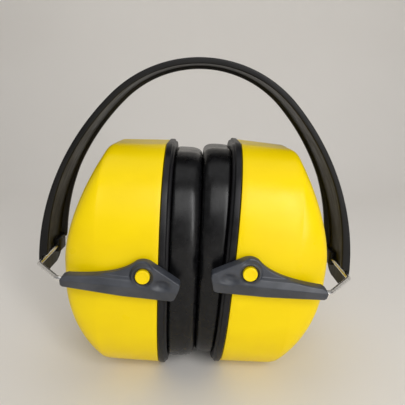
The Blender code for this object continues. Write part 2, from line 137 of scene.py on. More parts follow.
# Cushions
CUSHION_INSET = 2.5 * MM
CUSHION_WIDTH = 16.5 * MM
CUSHION_BACK = 4.5 * MM
CUSHION_FACE = {"left": 17.54 * MM, "right": 15.27 * MM}
CUSHION_FACE_SLOPE = {"left": 0.0017, "right": 0.042}
CUSHION_SQUEEZE = 0.9 * MM
CUSHION_VOXEL = 2.0 * MM
CUSHION_START_INSET = 0.6 * MM
CUSHION_SWELL_CAP = 1.5 * MM
CUSHION_PINNED_DEPTH = 0.8 * MM
WELD_RADIUS = 0.6 * MM
WELD_DEPTH = 1.2 * MM
WELD_INSET = 0.3 * MM
CUSHION_PRESSURE = 4.0
CLOTH_FRAMES = 20
SWELL_NEIGHBOURS = 16

RING_POINTS = 160
INSERT_RING_POINTS = 96

# Stage, lights and camera
STAGE_HALF_SIZE = 3.0
SWEEP_START_Y = 0.35
SWEEP_RADIUS = 0.25
SWEEP_HEIGHT = 2.0
LIGHT_TARGET = (0.0, 0.0, 0.07)
WORLD_COLOR = (0.86, 0.85, 0.83, 1.0)
WORLD_STRENGTH = 0.3
CAMERA_PLACE = (0.0025, -0.2035, 0.1333)
CAMERA_PITCH = -13.96
CAMERA_YAW = -0.42
FOCAL_LENGTH = 36.0
SENSOR_WIDTH = 36.0


# Frames


def turned(origin, lean=0.0):
    """A frame at origin, turned by lean degrees about +Y."""
    return Matrix.Translation(origin) @ Matrix.Rotation(math.radians(lean), 4, "Y")


def joint_place(name):
    """Where the CAD model's joint is, in the row frame."""
    return next(Vector(joint["pos_m"]) for joint in frame["joints"] if joint["name"] == name)


def make_frames():
    """The band's, hinges', arms', pivots' and cups' frames."""
    left, right = (joint_place(f"{side}_yoke_hinge") for side in SIDES)
    across = right - left
    lean = math.degrees(math.atan2(-across.z, across.x))
    frames = {"band": turned((left + right) / 2, lean)}
    for side in SIDES:
        pivot = joint_place(f"{side}_cup_pivot")
        frames[f"{side}_hinge"] = turned(joint_place(f"{side}_yoke_hinge"), lean)
        frames[f"{side}_arm"] = turned(pivot, ARM_LEAN[side])
        frames[f"{side}_pivot"] = turned(pivot, CUP_LEAN[side])
        offset = Vector((-OUTBOARD[side] * PIVOT_S, 0.0, -PIVOT_HEIGHT[side]))
        frames[f"{side}_cup"] = frames[f"{side}_pivot"] @ Matrix.Translation(offset)
    return frames


# Mesh helpers


def loft(rings, closed=False):
    """(points, faces) of a skin over rings; a ring of one point is a pole."""
    points, starts, faces = [], [], []
    for ring in rings:
        starts.append(len(points))
        points.extend(tuple(point) for point in ring)
    pairs = list(zip(range(len(rings) - 1), range(1, len(rings))))
    if closed:
        pairs.append((len(rings) - 1, 0))
    for first, second in pairs:
        count = max(len(rings[first]), len(rings[second]))
        for i in range(count):
            near = [starts[first] + j % len(rings[first]) for j in (i, i + 1)]
            far = [starts[second] + j % len(rings[second]) for j in (i + 1, i)]
            faces.append(tuple(dict.fromkeys(near + far)))
    return points, faces


def capped(rings):
    """A loft whose two end rings are filled."""
    points, faces = loft(rings)
    faces.append(tuple(range(len(rings[0]))))
    faces.append(tuple(range(len(points) - len(rings[-1]), len(points))))
    return points, faces


def turned_y(center, stations, count=64):
    """A solid turned about an axis along y, from (y, radius) stations."""
    angles = [2 * math.pi * i / count for i in range(count)]
    rings = []
    for y, radius in stations:
        spokes = [(radius * math.cos(a), radius * math.sin(a)) for a in angles]
        rings.append([(center[0] + x, y, center[1] + z) for x, z in spokes])
    return capped(rings)


def make_object(name, mesh_data, matrix, material=None, mirror=(1, 1), sharp=38.0):
    """An object at the origin whose mesh is placed by matrix, shaded smooth up to the sharp angle."""
    points, faces = mesh_data
    mesh = bpy.data.meshes.new(name)
    mesh.from_pydata([(x * mirror[0], y * mirror[1], z) for x, y, z in points], [], faces)
    mesh.transform(matrix)
    shape = bmesh.new()
    shape.from_mesh(mesh)
    bmesh.ops.recalc_face_normals(shape, faces=shape.faces)
    shape.to_mesh(mesh)
    shape.free()
    mesh.shade_smooth()
    mesh.set_sharp_from_angle(angle=math.radians(sharp))
    if material:
        mesh.materials.append(material)
    obj = bpy.data.objects.new(name, mesh)
    bpy.context.scene.collection.objects.link(obj)
    return obj


def apply_modifiers(obj):
    """Replaces an object's mesh by its evaluated one."""
    graph = bpy.context.evaluated_depsgraph_get()
    graph.update()
    mesh = bpy.data.meshes.new_from_object(obj.evaluated_get(graph))
    obj.modifiers.clear()
    obj.data = mesh


def carve(obj, cutters):
    """Cuts these objects out of a piece that keeps its one material, and removes them."""
    material = obj.data.materials[0]
    for cutter in cutters:
        modifier = obj.modifiers.new("carve", "BOOLEAN")
        modifier.object = cutter
        modifier.operation = "DIFFERENCE"
    apply_modifiers(obj)
    obj.data.materials.clear()
    obj.data.materials.append(material)
    for cutter in cutters:
        bpy.data.objects.remove(cutter, do_unlink=True)


def soften(obj, width, segments, angle=38.0):
    """Rounds an object's sharp edges."""
    bevel = obj.modifiers.new("soften", "BEVEL")
    bevel.width = width
    bevel.segments = segments
    bevel.limit_method = "ANGLE"
    bevel.angle_limit = math.radians(angle)
    bevel.harden_normals = False
    apply_modifiers(obj)
    obj.data.shade_smooth()
    obj.data.set_sharp_from_angle(angle=math.radians(60))


def install(obj, body, slot, *nodes):
    """Puts a piece on its body and in place of its CAD nodes."""
    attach(obj, body)
    if nodes:
        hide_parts(*nodes)
    return obj


def smoothstep(low, high, value):
    """0 at low, 1 at high and smooth in between; low may be above high."""
    share = min(1.0, max(0.0, (value - low) / (high - low)))
    return share * share * (3 - 2 * share)


# Materials


class Finish:
    """A Principled material, with short calls that add procedural nodes."""

    def __init__(self, name, color, roughness, metallic=0.0):
        self.material = bpy.data.materials.new(name)
        self.material.use_nodes = True
        self.tree = self.material.node_tree
        self.shader = self.tree.nodes["Principled BSDF"]
        self.set("Base Color", (*color, 1.0))
        self.set("Roughness", roughness)
        self.set("Metallic", metallic)
        self.coordinates = self.node("ShaderNodeTexCoord").outputs["Object"]

    def set(self, socket, value):
        self.shader.inputs[socket].default_value = value

    def node(self, kind, **settings):
        made = self.tree.nodes.new(kind)
        for key, value in settings.items():
            setattr(made, key, value)
        return made

    def stretched(self, scale):
        """The object's coordinates, stretched."""
        mapping = self.node("ShaderNodeMapping")
        mapping.inputs["Scale"].default_value = scale
        self.tree.links.new(self.coordinates, mapping.inputs["Vector"])
        return mapping.outputs["Vector"]

    def noise(self, scale, detail=3.0, stretch=None):
        texture = self.node("ShaderNodeTexNoise")
        texture.inputs["Scale"].default_value = scale
        texture.inputs["Detail"].default_value = detail
        vector = self.stretched(stretch) if stretch else self.coordinates
        self.tree.links.new(vector, texture.inputs["Vector"])
        return texture.outputs["Fac"]

    def cells(self, scale, feature="F1"):
        texture = self.node("ShaderNodeTexVoronoi", feature=feature)
        texture.inputs["Scale"].default_value = scale
        self.tree.links.new(self.coordinates, texture.inputs["Vector"])
        return texture.outputs["Distance"]

    def ramp(self, factor, stops):
        """Colours by a factor, between two stops of (position, colour)."""
        ramp = self.node("ShaderNodeValToRGB")
        for element, (position, color) in zip(ramp.color_ramp.elements, stops):
            element.position = position
            element.color = (*color, 1.0)
        self.tree.links.new(factor, ramp.inputs["Fac"])
        return ramp.outputs["Color"]

    def spread(self, factor, low, high):
        """A factor's middle range, mapped from low to high."""
        mapped = self.node("ShaderNodeMapRange")
        for socket, value in (("From Min", 0.3), ("From Max", 0.7), ("To Min", low), ("To Max", high)):
            mapped.inputs[socket].default_value = value
        self.tree.links.new(factor, mapped.inputs["Value"])
        return mapped.outputs["Result"]

    def bump(self, layers):
        """Bumps one after another; a layer is (height, strength, distance)."""
        normal = None
        for height, strength, distance in layers:
            bump = self.node("ShaderNodeBump")
            bump.inputs["Strength"].default_value = strength
            bump.inputs["Distance"].default_value = distance
            self.tree.links.new(height, bump.inputs["Height"])
            if normal:
                self.tree.links.new(normal, bump.inputs["Normal"])
            normal = bump.outputs["Normal"]
        self.tree.links.new(normal, self.shader.inputs["Normal"])

    def color(self, factor, low, high):
        """Base colour by a factor, from one (position, colour) to another."""
        self.tree.links.new(self.ramp(factor, (low, high)), self.shader.inputs["Base Color"])

    def rough(self, factor, low, high):
        """Roughness by a factor, from low to high."""
        self.tree.links.new(self.spread(factor, low, high), self.shader.inputs["Roughness"])


def cup_plastic():
    """Bright yellow moulded ABS: faint flow marks, rubbed patches and fine scratches."""
    finish = Finish("yellow_abs", (0.93, 0.66, 0.0), 0.34)
    flow = finish.noise(28.0, 4.0, (1.0, 1.0, 2.2))
    finish.color(flow, (0.3, (0.90, 0.645, 0.0)), (0.7, (0.95, 0.70, 0.0)))
    finish.rough(finish.noise(60.0, 6.0), 0.27, 0.43)
    peel = finish.noise(900.0, 2.0)
    scratches = finish.noise(260.0, 8.0, (0.25, 0.25, 6.0))
    finish.bump([(peel, 0.05, 0.0003), (scratches, 0.04, 0.0002)])
    finish.set("Specular IOR Level", 0.22)
    return finish.material


def arm_plastic():
    """Charcoal nylon with a fine spark-eroded grain and greyer rubbed patches."""
    finish = Finish("charcoal_nylon", (0.036, 0.04, 0.052), 0.4)
    rubbed = finish.noise(120.0, 5.0)
    finish.color(rubbed, (0.35, (0.03, 0.034, 0.044)), (0.75, (0.062, 0.067, 0.08)))
    finish.rough(finish.noise(200.0, 5.0), 0.33, 0.5)
    finish.bump([(finish.noise(2600.0, 2.0), 0.16, 0.0002), (rubbed, 0.05, 0.0004)])
    return finish.material


def band_plastic():
    """Black moulded band, shiny where it is handled, with marks that run along it."""
    finish = Finish("black_band", (0.006, 0.006, 0.006), 0.42)
    drift = finish.noise(40.0, 5.0, (1.0, 2.5, 1.0))
    finish.color(drift, (0.3, (0.004, 0.004, 0.004)), (0.75, (0.011, 0.010, 0.010)))
    finish.rough(finish.noise(90.0, 6.0, (1.0, 4.0, 1.0)), 0.34, 0.52)
    finish.bump([(finish.noise(1500.0, 3.0), 0.10, 0.0002), (drift, 0.05, 0.0006)])
    finish.set("Specular IOR Level", 0.25)
    return finish.material


def plate_plastic():
    """Black moulded rings with a fine texture."""
    finish = Finish("black_ring", (0.012, 0.012, 0.014), 0.36)
    tone = finish.noise(150.0, 4.0)
    finish.color(tone, (0.3, (0.004, 0.004, 0.005)), (0.75, (0.012, 0.012, 0.014)))
    finish.rough(tone, 0.3, 0.46)
    finish.bump([(finish.noise(2200.0, 2.0), 0.12, 0.0002)])
    finish.set("Specular IOR Level", 0.28)
    return finish.material


def cushion_vinyl():
    """Black vinyl with a sheen, a faint grain and soft creases."""
    finish = Finish("black_vinyl", (0.006, 0.006, 0.007), 0.27)
    dust = finish.noise(320.0, 8.0)
    finish.color(dust, (0.45, (0.003, 0.003, 0.0035)), (0.85, (0.010, 0.010, 0.011)))
    finish.rough(finish.noise(110.0, 6.0), 0.22, 0.34)
    grain = finish.cells(1900.0, "DISTANCE_TO_EDGE")
    creases = finish.noise(85.0, 3.0, (3.0, 1.0, 0.5))
    finish.bump([(creases, 0.12, 0.0012), (grain, 0.06, 0.0002)])
    finish.set("Specular IOR Level", 0.3)
    return finish.material


def wire_steel():
    """Bright drawn steel with lines along it and duller specks."""
    finish = Finish("drawn_steel", (0.8, 0.79, 0.78), 0.2, 1.0)
    finish.color(finish.noise(700.0, 6.0), (0.3, (0.6, 0.58, 0.56)), (0.5, (0.9, 0.89, 0.87)))
    finish.rough(finish.noise(500.0, 6.0, (1.0, 6.0, 1.0)), 0.14, 0.34)
    finish.bump([(finish.noise(2500.0, 3.0, (0.3, 3.0, 3.0)), 0.1, 0.0002)])
    return finish.material


def insert_foam():
    """Open-cell acoustic foam."""
    finish = Finish("acoustic_foam", (0.03, 0.03, 0.032), 0.95)
    pores = finish.cells(900.0)
    # Colour darker at the pore centres, where the bump sinks pits: painted shade in the pores
    finish.color(pores, (0.1, (0.012, 0.012, 0.013)), (0.6, (0.05, 0.05, 0.053)))
    finish.rough(finish.noise(400.0), 0.88, 0.98)
    finish.bump([(pores, 0.7, 0.0006), (finish.noise(180.0, 4.0), 0.3, 0.001)])
    finish.set("Sheen Weight", 0.2)
    return finish.material


def make_materials():
    """One finish for each material slot."""
    return {
        "band": band_plastic(),
        "wire": wire_steel(),
        "arm": arm_plastic(),
        "cup": cup_plastic(),
        "plate": plate_plastic(),
        "cover": cushion_vinyl(),
        "foam": insert_foam(),
    }


# Headband


def arch_point(angle):
    """Point and outward normal of the band's outer face; degrees from the crown, signed by side."""
    side, turn = (1 if angle >= 0 else -1), math.radians(abs(angle))
    crown_turn = math.radians(CROWN_HALF_ANGLE)
    normal = Vector((side * math.sin(turn), 0.0, math.cos(turn)))
    crown_center = Vector((0.0, 0.0, CROWN_TOP - CROWN_RADIUS))
    if turn <= crown_turn:
        return crown_center + CROWN_RADIUS * normal, normal
    shared = Vector((side * math.sin(crown_turn), 0.0, math.cos(crown_turn)))
    temple_center = crown_center + (CROWN_RADIUS - TEMPLE_RADIUS) * shared
    return temple_center + TEMPLE_RADIUS * normal, normal


def arch_angle(height):
    """The angle at which a temple's outer face is at this height."""
    crown_turn = math.radians(CROWN_HALF_ANGLE)
    center_z = CROWN_TOP - CROWN_RADIUS + (CROWN_RADIUS - TEMPLE_RADIUS) * math.cos(crown_turn)
    return math.degrees(math.acos((height - center_z) / TEMPLE_RADIUS))


def lip_thickness(height):
    """Lips thicken down each temple and run out above the tongue."""
    grown = min(1.0, max(0.0, (LIP_GROWTH_TOP - height) / LIP_GROWTH_LENGTH))
    full = LIP_THICKNESS + grown * (LIP_THICKNESS_END - LIP_THICKNESS)
    kept = smoothstep(LIP_END_HEIGHT - LIP_END_LEAD, LIP_END_HEIGHT + 0.4 * MM, height)
    bare = WEB_THICKNESS + 0.1 * MM
    return bare + kept * (full - bare)


def tongue_half_width(height):
    """Half the band's width, which rounds off below the lips."""
    below = max(0.0, LIP_END_HEIGHT - height)
    reach = (LIP_END_HEIGHT - TONGUE_TIP_HEIGHT) * 1.015
    kept = max(0.0, 1.0 - (below / reach) ** TONGUE_EXPONENT)
    return BAND_HALF_WIDTH * kept ** (1.0 / TONGUE_EXPONENT)


def round_corner(corner, before, after, radius, steps=4):
    """Points of a quadratic curve that rounds a corner of a section."""
    corner, before, after = (np.array(point) for point in (corner, before, after))
    start = corner + (before - corner) / np.linalg.norm(before - corner) * radius
    end = corner + (after - corner) / np.linalg.norm(after - corner) * radius
    shares = [i / steps for i in range(steps + 1)]
    curve = [(1 - t) ** 2 * start + 2 * t * (1 - t) * corner + t**2 * end for t in shares]
    return [(float(y), float(depth)) for y, depth in curve]


def band_section(angle):
    """Ring of the band's section: crowned outside, with a rounded lip along each inner edge."""
    outer, normal = arch_point(angle)
    half = tongue_half_width(outer.z)
    lip = lip_thickness(outer.z)
    narrow = half / BAND_HALF_WIDTH
    inner = half - LIP_WIDTH * narrow
    crown = 0.35 * MM
    bend = 0.7 * MM * narrow
    foot = (inner - bend, WEB_THICKNESS)
    corners = [
        ((half, crown), (0.0, 0.0), (half, lip), bend),
        ((half, lip), (half, crown), (inner, lip), min(0.8 * MM, 0.35 * (lip - crown)) * narrow),
        ((inner, lip), (half, lip), foot, 0.35 * MM * narrow),
        (foot, (inner, lip), (0.0, WEB_THICKNESS), 0.3 * MM * narrow),
    ]
    half_ring = [(0.0, 0.0), (0.35 * half, 0.12 * crown), (0.7 * half, 0.45 * crown)]
    for corner in corners:
        half_ring += round_corner(*corner)
    half_ring += [(0.5 * inner, WEB_THICKNESS), (0.0, WEB_THICKNESS)]
    ring = half_ring + [(-y, depth) for y, depth in reversed(half_ring[1:-1])]
    return [outer - depth * normal + Vector((0.0, y, 0.0)) for y, depth in ring]


def band_angles():
    """Stations along the arch, closer together where the lips end and on the rounded tongues."""
    start = LIP_END_HEIGHT + LIP_END_LEAD
    lip_end = arch_angle(start)
    half = [lip_end * (i + 1) / SECTIONS_PER_SIDE for i in range(SECTIONS_PER_SIDE)]
    for i in range(1, TONGUE_SECTIONS + 1):
        share = math.sin(0.5 * math.pi * i / TONGUE_SECTIONS)
        half.append(arch_angle(start - share * (start - TONGUE_TIP_HEIGHT)))
    return [-angle for angle in reversed(half)] + [0.0] + half


def rounded_box(x_range, y_range, z_range):
    """A box to be softened; its long axis is y."""
    (left, right), (bottom, top) = x_range, z_range
    corners = ((left, bottom), (right, bottom), (right, top), (left, top))
    return capped([[(x, y, z) for x, z in corners] for y in y_range])


def make_headband(matrix, material):
    """Moulded band with two wire keepers."""
    sections = [band_section(angle) for angle in band_angles()]
    band = make_object("headband_moulding", capped(sections), matrix, material)
    install(band, "headband", "band", "headband")
    for side, sign in OUTBOARD.items():
        keeper = make_object(
            f"{side}_wire_keeper", rounded_box(KEEPER_X, KEEPER_Y, KEEPER_Z), matrix, material, (sign, 1)
        )
        soften(keeper, KEEPER_EDGE_RADIUS, 4)
        bore = ((-20 * MM, WIRE_HOLE_RADIUS), (20 * MM, WIRE_HOLE_RADIUS))
        cutter = make_object("cutter", turned_y((HINGE_X, 0.0), bore, 32), matrix, None, (sign, 1))
        carve(keeper, [cutter])
        keeper.data.shade_smooth()
        keeper.data.set_sharp_from_angle(angle=math.radians(50))
        install(keeper, "headband", "band")


# Wire forks


def rounded_path(corners, radius, steps=12):
    """The corners of a path, each inner one replaced by an arc."""
    path = [corners[0]]
    for before, corner, after in zip(corners, corners[1:], corners[2:]):
        back, ahead = (before - corner).normalized(), (after - corner).normalized()
        half_turn = (math.pi - back.angle(ahead)) / 2
        reach = radius * math.tan(half_turn)
        start, end = corner + reach * back, corner + reach * ahead
        center = corner + (back + ahead).normalized() * (radius / math.cos(half_turn))
        for i in range(steps + 1):
            spoke = (start - center).slerp(end - center, i / steps)
            path.append(center + radius * spoke.normalized())
    path.append(corners[-1])
    return path


def make_wire(side, frames, material):
    """One bent wire: hinge bar across the band's end, and a leg out into each arm."""
    leg_y = ARM_INNER_Y + CHANNEL_W
    sign = OUTBOARD[side]
    tip = frames[f"{side}_arm"] @ Vector((sign * LEG_TIP_U, 0.0, RIDGE_V))
    bend = frames[f"{side}_arm"] @ Vector((sign * LEG_BEND_U, 0.0, RIDGE_V))
    hinge = frames[f"{side}_hinge"].translation
    corners = [
        Vector((tip.x, -leg_y, tip.z)),
        Vector((bend.x, -leg_y, bend.z)),
        Vector((hinge.x, -ELBOW_Y, hinge.z)),
        Vector((hinge.x, ELBOW_Y, hinge.z)),
        Vector((bend.x, leg_y, bend.z)),
        Vector((tip.x, leg_y, tip.z)),
    ]
    path = rounded_path(corners, WIRE_BEND_RADIUS)
    rings = []
    reference = Vector((0.0, 0.0, 1.0))
    for i, place in enumerate(path):
        ahead = (path[min(i + 1, len(path) - 1)] - path[max(i - 1, 0)]).normalized()
        across = (reference - reference.dot(ahead) * ahead).normalized()
        reference = across
        upright = ahead.cross(across)
        angles = [2 * math.pi * j / WIRE_SIDES for j in range(WIRE_SIDES)]
        spokes = [math.cos(a) * across + math.sin(a) * upright for a in angles]
        rings.append([place + WIRE_RADIUS * spoke for spoke in spokes])
    for end, start in ((0, 1), (-1, -2)):
        center = path[end]
        outward = (center - path[start]).normalized() * WIRE_TIP_CHAMFER
        chamfer = [center + WIRE_TIP_SCALE * (point - center) + outward for point in rings[end]]
        if end == 0:
            rings.insert(0, chamfer)
        else:
            rings.append(chamfer)
    wire = make_object(f"{side}_bent_wire", capped(rings), Matrix.Identity(4), material)
    install(wire, f"{side}_fork", "wire", f"{side}_wire_fork")


# Arms


def arm_edges():
    """Upper and lower edge of an arm's outline, as (u, v) lists that run outboard."""
    hub = [math.radians(a) for a in range(121, 55, -5)]
    upper = [(ARM_INBOARD_U, -2.6 * MM), (-15.7 * MM, -1.4 * MM)]
    upper += [(HUB_RADIUS * math.cos(a), HUB_RADIUS * math.sin(a)) for a in hub]
    start, control, end = np.array(upper[-1]), np.array((10.5, -2.0)) * MM, np.array((31.6, -3.2)) * MM
    steps = 24
    for i in range(1, steps + 1):
        t = i / steps
        upper.append(tuple((1 - t) ** 2 * start + 2 * t * (1 - t) * control + t**2 * end))
    upper += [(33.4 * MM, -4.1 * MM), (ARM_OUTBOARD_U, -5.6 * MM)]
    lower = [
        (ARM_INBOARD_U, -2.8 * MM),
        (-14.3 * MM, -9.3 * MM),
        (-13.7 * MM, -10.2 * MM),
        (-12.5 * MM, -10.7 * MM),
        (8.0 * MM, -10.7 * MM),
        (33.2 * MM, -9.0 * MM),
        (ARM_OUTBOARD_U, -8.0 * MM),
    ]
    return upper, lower


def arm_height(u, v):
    """Height of an arm's outer face above its flat back, in metres."""
    above = v - RIDGE_LINE_V
    if above < 0.0:
        ridge = RIDGE_LEVEL + LOWER_FACET_SLOPE * above
    else:
        ridge = RIDGE_LEVEL - UPPER_FACET_SLOPE * above
    ridge += (WEB_LEVEL - ridge) * smoothstep(2.8 * MM, 3.9 * MM, above)
    away = math.hypot(u, v)
    hub = WEB_LEVEL + (HUB_THICKNESS - WEB_LEVEL) * (1.0 - smoothstep(4.5 * MM, 5.7 * MM, away))
    height = max(WEB_LEVEL, ridge, hub)
    inboard = smoothstep(0.0, -4.5 * MM, u)
    slab = RIDGE_LEVEL + min(LOWER_FACET_SLOPE * above, 0.0)
    scoop = math.hypot((u - SCOOP_CENTER[0]) / SCOOP_RADII[0], (v - SCOOP_CENTER[1]) / SCOOP_RADII[1])
    dished = slab - SCOOP_DEPTH * (1.0 - smoothstep(0.2, 1.0, scoop))
    return height + inboard * (dished - height)


def arm_shape():
    """Rings of an arm across its length, from the inboard tip to the outboard end."""
    upper, lower = (np.array(edge) for edge in arm_edges())
    near_tip = np.linspace(ARM_INBOARD_U, -13.0 * MM, 13)
    middle = np.linspace(-12.6 * MM, 32.4 * MM, 114)
    near_end = np.linspace(32.7 * MM, ARM_OUTBOARD_U, 8)
    across, edge = 44, ARM_EDGE_RADIUS
    rings = []
    for u in np.concatenate([near_tip, middle, near_end]):
        top, bottom = np.interp(u, upper[:, 0], upper[:, 1]), np.interp(u, lower[:, 0], lower[:, 1])
        end = min(u - ARM_INBOARD_U, ARM_OUTBOARD_U - u)
        ring = []
        for i in range(across + 1):
            share = 0.5 - 0.5 * math.cos(math.pi * i / across)
            v = bottom + (top - bottom) * (0.35 * share + 0.65 * i / across)
            height = arm_height(u, v)
            near = min(edge, v - bottom, top - v, end) / edge
            rounded = edge * (1.0 - math.sqrt(max(0.0, 1.0 - (1.0 - near) ** 2)))
            ring.append((u, ARM_INNER_Y + max(ARM_EDGE_THICKNESS, height - rounded), v))
        ring += [(u, ARM_INNER_Y, top), (u, ARM_INNER_Y, bottom)]
        rings.append(ring)
    return capped(rings)


def make_arm(side, facing, frames, material):
    """One arm with its button recess and wire channel."""
    matrix, mirror = frames[f"{side}_arm"], (OUTBOARD[side], FACING[facing])
    arm = make_object(f"{side}_{facing}_arm_moulding", arm_shape(), matrix, material, mirror)
    seat = ARM_INNER_Y + HUB_THICKNESS - BUTTON_RECESS_DEPTH
    outside = ARM_INNER_Y + HUB_THICKNESS
    stations = (
        (seat, BUTTON_RECESS_RADIUS),
        (outside - 0.5 * MM, BUTTON_RECESS_RADIUS),
        (outside, BUTTON_RECESS_RADIUS + 0.5 * MM),
        (outside + 1 * MM, BUTTON_RECESS_RADIUS + 1.5 * MM),
    )
    recess = make_object("recess", turned_y((0.0, 0.0), stations), matrix, None, mirror)
    angles = [2 * math.pi * i / 32 for i in range(32)]
    ring = [
        (ARM_INNER_Y + CHANNEL_W + WIRE_HOLE_RADIUS * math.cos(a), RIDGE_V + WIRE_HOLE_RADIUS * math.sin(a))
        for a in angles
    ]
    channel = capped([[(u, y, v) for y, v in ring] for u in (-20 * MM, 40 * MM)])
    bore = make_object("channel", channel, matrix, None, mirror)
    carve(arm, [recess, bore])
    arm.data.shade_smooth()
    arm.data.set_sharp_from_angle(angle=math.radians(42))
    install(arm, f"{side}_arms", "arm", f"{side}_{facing}_arm")


def make_pin(side, facing, frames, material):
    """Yellow button-headed pin with a shallow dish in its head, and a snap head inside the shell."""
    base = ARM_INNER_Y + HUB_THICKNESS
    seat = base - BUTTON_RECESS_DEPTH + 0.05 * MM
    inside = CUP_HALF_WIDTH - SHELL_WALL - PIN_INNER_CLEARANCE
    stations = [
        (inside - 2.2 * MM, 0.8 * PIN_RADIUS),
        (inside - 1.9 * MM, PIN_RADIUS),
        (inside - 1.4 * MM, PIN_RADIUS + 1.0 * MM),
        (inside, PIN_RADIUS + 1.1 * MM),
        (inside, PIN_RADIUS),
        (seat, PIN_RADIUS),
        (seat, BUTTON_RADIUS),
        (base + 0.05 * MM, BUTTON_RADIUS),
        (base + 0.35 * MM, BUTTON_RADIUS - 0.12 * MM),
        (base + 0.5 * MM, BUTTON_RADIUS - 0.4 * MM),
        (base + 0.52 * MM, BUTTON_RADIUS - 0.8 * MM),
        (base + 0.38 * MM, BUTTON_RADIUS - 1.1 * MM),
        (base + 0.3 * MM, BUTTON_RADIUS - 1.8 * MM),
        (base + 0.3 * MM, 0.3 * MM),
    ]
    data = turned_y((0.0, 0.0), stations)
    mirror = (1, FACING[facing])
    pin = make_object(f"{side}_{facing}_button_pin", data, frames[f"{side}_pivot"], material, mirror, 30.0)
    install(pin, f"{side}_cup", "cup", f"{side}_{facing}_pivot_pin")


# Cups


def cup_ring(s, height=1.0, breadth=1.0, inset=0.0, exponent=RIM_EXPONENT, count=RING_POINTS):
    """Ring of the cup's outline at s, scaled in height and breadth and flat at top and bottom."""
    half_width = CUP_HALF_WIDTH * breadth - inset
    half_height = CUP_HALF_HEIGHT * height - inset
    ring = []
    for i in range(count):
        turn = 2 * math.pi * i / count
        y, z = math.cos(turn), math.sin(turn)
        reach = (abs(y) ** exponent + abs(z) ** exponent) ** (-1 / exponent)
        up = half_height * z * reach / STANDING_FLAT
        ring.append((s, half_width * y * reach, max(-half_height, min(half_height, up))))
    return ring


def dome_ring(scale, inset=0.0, drop=0.0, count=RING_POINTS):
    """Level ring of the dome: its height shrinks with the scale, and its breadth much later."""
    s = DOME_HEIGHT - DOME_DROP * scale**DOME_POWER - drop
    breadth = SIDE_DRAFT * scale**DOME_BREADTH_POWER
    exponent = DOME_EXPONENT + (RIM_EXPONENT - DOME_EXPONENT) * scale
    return cup_ring(s, scale, breadth, inset * scale, exponent, count)


def side_ring(s, inset=0.0, count=RING_POINTS):
    """Ring of the cup's lightly drafted side."""
    scale = 1.0 + (SIDE_DRAFT - 1.0) * s / SIDE_LENGTH
    return cup_ring(s, scale, scale, inset, RIM_EXPONENT, count)


def bowl(start, inset, drop, count=RING_POINTS):
    """Rings of a bowl from s = start over a rounded shoulder to its pole."""
    shoulder = SIDE_LENGTH - drop - 1.6 * MM
    steps = 9
    rings = [side_ring(start + (shoulder - start) * i / steps, inset, count) for i in range(steps + 1)]
    low, high = np.array(rings[-1]), np.array(dome_ring(SHOULDER_SCALE, inset, drop, count))
    corner = np.array(side_ring(SIDE_LENGTH - drop + 1.4 * MM, inset, count))
    for i in range(1, 8):
        t = i / 8
        rings.append([tuple(p) for p in (1 - t) ** 2 * low + 2 * t * (1 - t) * corner + t**2 * high])
    for scale in np.linspace(SHOULDER_SCALE, POLE_SCALE, 35):
        rings.append(dome_ring(scale, inset, drop, count))
    last, center = np.array(rings[-1]), np.array((DOME_HEIGHT - drop, 0.0, 0.0))
    for share in (0.6, 0.25):
        rings.append([tuple(p) for p in center + (last - center) * share])
    rings.append([tuple(center)])
    return rings


def make_shell(side, frames, material):
    """Domed shell with a rounded rim, open inboard."""
    outer = bowl(0.35 * MM, 0.0, 0.0)
    inner = bowl(0.35 * MM, SHELL_WALL, SHELL_WALL)
    rim = [side_ring(0.08 * MM, 0.12 * MM), side_ring(0.0, 0.4 * MM), side_ring(0.0, SHELL_WALL - 0.3 * MM)]
    rings = [outer[-1], *reversed(outer[:-1]), *rim, *inner]
    shell = make_object(
        f"{side}_shell", loft(rings), frames[f"{side}_cup"], material, (OUTBOARD[side], 1), 50.0
    )
    install(shell, f"{side}_cup", "cup", f"{side}_cup_shell")


def ring_piece(name, side, profile, frames, material):
    """A closed ring round the ear opening, from (s, inset) points of its section in order."""
    rings = [cup_ring(s, inset=inset) for s, inset in profile]
    return make_object(name, loft(rings, True), frames[f"{side}_cup"], material, (OUTBOARD[side], 1), 40.0)


def make_back_plate(side, frames, material):
    """Rim ring with a stepped, rounded edge."""
    spigot = SHELL_WALL + 0.3 * MM
    profile = [
        (-0.3 * MM, 0.1 * MM),
        (-0.35 * MM, -0.25 * MM),
        (-0.6 * MM, -0.5 * MM),
        (-2.6 * MM, -0.55 * MM),
        (-2.95 * MM, -0.4 * MM),
        (-3.15 * MM, -0.05 * MM),
        (-3.2 * MM, 0.3 * MM),
        (-3.45 * MM, 0.5 * MM),
        (-3.9 * MM, 0.6 * MM),
        (-4.2 * MM, 0.85 * MM),
        (-4.3 * MM, 1.3 * MM),
        (-4.3 * MM, PLATE_INNER_INSET - 0.3 * MM),
        (-4.0 * MM, PLATE_INNER_INSET),
        (-0.6 * MM, PLATE_INNER_INSET),
        (-0.3 * MM, PLATE_INNER_INSET - 0.3 * MM),
        (-0.3 * MM, spigot + SPIGOT_WALL),
        (1.5 * MM, spigot + SPIGOT_WALL),
        (1.5 * MM, spigot),
        (-0.3 * MM, spigot),
    ]
    plate = ring_piece(f"{side}_rim_ring", side, profile, frames, material)
    install(plate, f"{side}_cup", "plate", f"{side}_back_plate")


